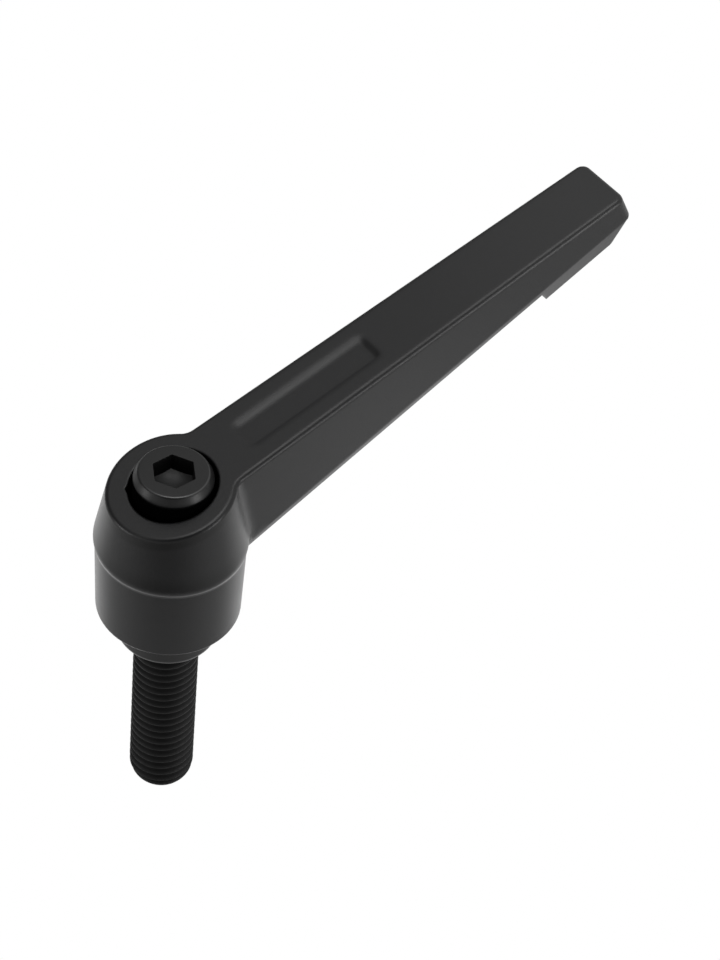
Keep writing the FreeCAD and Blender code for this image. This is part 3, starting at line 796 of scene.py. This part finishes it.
drop = stud_radius - POINT_RADIUS
arc_radius = (POINT_LENGTH ** 2 + drop ** 2) / (2 * drop)
blank_radius = stud_radius + CREST_MARGIN
shank_profile = [(0, stud_low[2])]
for step in range(POINT_STEPS, 0, -1):
    along = POINT_LENGTH * step / POINT_STEPS
    radius = stud_radius - arc_radius + math.sqrt(arc_radius ** 2 - along ** 2)
    shank_profile.append((radius, stud_low[2] + POINT_LENGTH - along))
shank_profile += [
    (blank_radius, stud_low[2] + POINT_LENGTH),
    (blank_radius, UNDERCUT_LOW),
    (0, UNDERCUT_LOW),
]
combine(stud, turned("shank", shank_profile), "INTERSECT")
combine(stud, turned("neck", [
    (0, UNDERCUT_LOW - PITCH),
    (UNDERCUT_RADIUS, UNDERCUT_LOW - PITCH),
    (UNDERCUT_RADIUS, UNDERCUT_HIGH),
    (stud_radius, UNDERCUT_HIGH),
    (stud_radius, stud_high[2] - SEAT_BEVEL),
    (stud_radius - SEAT_BEVEL, stud_high[2]),
    (0, stud_high[2]),
]), "UNION")
clean(stud)
smooth(stud, STUD_SHARPEST)
print("stud faces:", len(stud.data.polygons), "box:", millimetres(stud))

# %% [markdown]
# ## The stud's finish and its place
# Rolling presses the thread's edges round, and the black coat lies dull in its grooves, so the
# stud has the softest edges and the dullest shine of the three steel pieces. It is screwed tight
# into the insert, so it rides with it.

# %% The stud's finish
stud_steel = blackened(
    "black_stud", tones=(grey(0.004), grey(0.008)), polish=0.46,
    ring_width=0.00015, ring_depth=0.000004, shine=0.34, softness=0.00055)
stud_steel.dress(stud)
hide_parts("threaded_stud")
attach(stud, "insert")
print("stud finish:", stud_steel.material.name)

# %% [markdown]
# ## The retaining screw
# The head is turned with a flat top and a steep shoulder, and its hexagon is pressed in over a
# drilled hole, so that the drill's cone meets the six walls in arcs. The solid's form is kept,
# but the rim of the flat gets the fine broken edge of a turned part, which catches the light.
# The Bevel modifier could break it too, but arcs in the profile say exactly where they run. The
# blank's helper turns the screw, and with only six steps it gives the hexagon.

# %% The screw's turned body
HEAD_TOP = 0.0341
HEAD_FOOT = 0.0281
HEAD_RADIUS = 0.00595
HEAD_RIM = 0.00525
HEAD_SHOULDER = 0.0013
SHANK_RADIUS = 0.0040
SHANK_FOOT = 0.0156
SCREW_THREAD_RADIUS = 0.0030
SCREW_BEVEL = 0.0005
BROKEN_EDGE = 0.00050
FOOT_EDGE = 0.00030
EDGE_STEPS = 8


def rounded_corner(before, corner, after, radius):
    """Points of the small arc that rounds a profile's corner."""
    before, corner, after = Vector(before), Vector(corner), Vector(after)
    back = (before - corner).normalized()
    onward = (after - corner).normalized()
    half = back.angle(onward) / 2
    centre = corner + (back + onward).normalized() * (radius / math.sin(half))
    reach = radius / math.tan(half)
    first = corner + back * reach - centre
    last = corner + onward * reach - centre
    points = []
    for step in range(EDGE_STEPS + 1):
        share = step / EDGE_STEPS
        spoke = (first * (1 - share) + last * share).normalized() * radius
        points.append(tuple(centre + spoke))
    return points


screw_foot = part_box("retaining_screw")[0][2]
shoulder = (HEAD_RADIUS, HEAD_TOP - HEAD_SHOULDER)
rim = (HEAD_RIM, HEAD_TOP)
screw = turned("hexagon_socket_screw", [
    (0, screw_foot),
    (SCREW_THREAD_RADIUS - SCREW_BEVEL, screw_foot),
    (SCREW_THREAD_RADIUS, screw_foot + SCREW_BEVEL),
    (SCREW_THREAD_RADIUS, SHANK_FOOT),
    (SHANK_RADIUS, SHANK_FOOT),
    (SHANK_RADIUS, HEAD_FOOT),
    (HEAD_RADIUS, HEAD_FOOT),
    *rounded_corner((HEAD_RADIUS, HEAD_FOOT), shoulder, rim, FOOT_EDGE),
    *rounded_corner(shoulder, rim, (0, HEAD_TOP), BROKEN_EDGE),
    (0, HEAD_TOP),
])
print("screw body faces:", len(screw.data.polygons))

# %% The hexagon socket
SOCKET_ACROSS = 0.0059
SOCKET_DEPTH = 0.0031
SOCKET_CONE = 0.0010
SOCKET_TURN = math.radians(-1.5)
SOCKET_MARGIN = 0.0005
HEXAGON_SIDES = 6
SCREW_SHARPEST = 30

wall_middle = SOCKET_ACROSS / 2
wall_corner = wall_middle / math.cos(math.pi / HEXAGON_SIDES)
cone_rise = SOCKET_CONE / wall_middle
cone_foot = HEAD_TOP - SOCKET_DEPTH - SOCKET_CONE
socket_top = HEAD_TOP + SOCKET_MARGIN
hexagon = turned("hexagon", [
    (0, HEAD_FOOT + SOCKET_MARGIN),
    (wall_corner, HEAD_FOOT + SOCKET_MARGIN),
    (wall_corner, socket_top),
    (0, socket_top),
], steps=HEXAGON_SIDES)
open_up(hexagon)
bpy.ops.transform.rotate(value=-SOCKET_TURN, orient_axis="Z", center_override=(0, 0, 0))
bpy.ops.object.mode_set(mode="OBJECT")
combine(hexagon, turned("drilled", [
    (0, cone_foot),
    (HEAD_RIM, cone_foot + cone_rise * HEAD_RIM),
    (HEAD_RIM, socket_top + SOCKET_MARGIN),
    (0, socket_top + SOCKET_MARGIN),
]), "INTERSECT")
clean(hexagon)
combine(screw, hexagon, "DIFFERENCE")
clean(screw)
smooth(screw, SCREW_SHARPEST)
print("screw faces:", len(screw.data.polygons), "box:", millimetres(screw))

# %% [markdown]
# ## The screw's finish and its place
# The head is the smoothest of the three steel pieces. Its rim is rubbed bright, most of all on
# one side, and a narrow band of gloss shows that. Its side wall stands in the well's dark, so it
# gets the same painted shade as the well: a black shader that mirrors nothing. The screw holds
# the lever on the insert, and it rides with the insert.

# %% The screw's finish
RIM_INSIDE = (0.00500, 0.00510)
RIM_OUTSIDE = (0.00520, 0.00532)
RIM_HEIGHT = (0.0335, 0.0338)
RIM_LEAST = 0.25
FRONT = (-0.35, -0.94, 0)
FRONT_RISE = (-0.0010, 0.0048)
WALL_INSIDE = (0.0054, 0.0056)
WALL_TOP = (0.0322, 0.0333)

screw_steel = blackened(
    "black_screw_head", tones=(grey(0.003), grey(0.008)), polish=0.30,
    ring_width=0.00010, ring_depth=0.000003)
screw_place = screw_steel.place()
screw_radius = screw_steel.from_axis(screw_place)
screw_height = screw_steel.along(screw_place, (0, 0, 1))
on_rim = screw_steel.band(screw_radius, RIM_INSIDE, RIM_OUTSIDE)
on_rim = on_rim * screw_steel.ramp(screw_height, *RIM_HEIGHT)
in_front = screw_steel.ramp(screw_steel.along(screw_place, FRONT), *FRONT_RISE)
screw_steel.gloss(on_rim * screw_steel.between(in_front, RIM_LEAST, 1.0))
# Painted shade: the head's side wall gets the same black shader as the well.
on_wall = screw_steel.ramp(screw_radius, *WALL_INSIDE)
on_wall = on_wall * (1 - screw_steel.ramp(screw_height, *WALL_TOP))
screw_steel.cover(on_wall, screw_steel.painted_shade_black())
screw_steel.dress(screw)
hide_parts("retaining_screw")
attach(screw, "insert")
print("screw finish:", screw_steel.material.name)

# %% [markdown]
# ## The spring in the well
# A short coil between the web and the screw's head pushes the lever down on its teeth. It is
# wound from round wire, and its two ends are ground flat to sit square. A curve with a round
# bevel would make a coil too, but its ends would have to be closed and cut all the same, so a
# circle of wire is wound by the same modifier as the thread.

# %% The coil
SPRING_TURNS = 4.5
SPRING_WIRE = 0.0011
SPRING_MIDDLE = 0.00495
SPRING_GRIND = 0.00041
SPRING_STEPS_A_TURN = 48
SPRING_SHARPEST = 40
WIRE_SIDES = 16

spring_low, spring_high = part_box("spring")
spring_foot = spring_low[2]
spring_head = spring_high[2]
wire_start = spring_foot + SPRING_WIRE / 2 - SPRING_GRIND
wire_climb = spring_head - spring_foot - SPRING_WIRE + 2 * SPRING_GRIND

let_go()
bpy.ops.mesh.primitive_circle_add(vertices=WIRE_SIDES, radius=SPRING_WIRE / 2, location=(0, 0, 0))
spring = bpy.context.object
spring.name = "coil_spring"
bpy.ops.object.mode_set(mode="EDIT")
bpy.ops.transform.rotate(value=math.radians(90), orient_axis="X", center_override=(0, 0, 0))
bpy.ops.transform.translate(value=(SPRING_MIDDLE, 0, wire_start))
bpy.ops.object.mode_set(mode="OBJECT")
coil_steps = int(SPRING_TURNS * SPRING_STEPS_A_TURN)
wind(spring, coil_steps, angle=math.tau * SPRING_TURNS, climb=wire_climb)
open_up(spring)
bpy.ops.mesh.select_all(action="DESELECT")
bpy.ops.mesh.select_non_manifold()
bpy.ops.mesh.fill_holes(sides=WIRE_SIDES)
bpy.ops.object.mode_set(mode="OBJECT")
cut_flat(spring, spring_foot, keep_above=True)
cut_flat(spring, spring_head, keep_above=False)
clean(spring)
smooth(spring, SPRING_SHARPEST)
print("spring faces:", len(spring.data.polygons), "box:", millimetres(spring))

# %% [markdown]
# ## The spring's finish and its body
# The wire is bare steel, bright but for the fine marks of drawing, and one noise serves for its
# tone, its roughness and its relief. When the lever is lifted, the spring is squeezed against
# the screw's head. Here the coil gets a mesh of its own and is hung on the spring's body.

# %% The spring's finish
WIRE_DARK = (0.22, 0.22, 0.23)
WIRE_LIGHT = (0.36, 0.36, 0.37)
WIRE_POLISH = (0.28, 0.42)
WIRE_MARKS = 0.0004
WIRE_DEPTH = 0.000004

wire = Finish("bare_spring_wire")
draw_marks = wire.noise(WIRE_MARKS, detail=3.0)
wire.set(
    Base_Color=wire.tint(draw_marks, WIRE_DARK, WIRE_LIGHT),
    Metallic=1.0,
    Roughness=wire.between(draw_marks, *WIRE_POLISH),
    Normal=wire.bump(draw_marks, WIRE_DEPTH),
)
wire.dress(spring)
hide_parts("spring")
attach(spring, "spring")
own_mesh(spring)

# %% [markdown]
# ## Closing
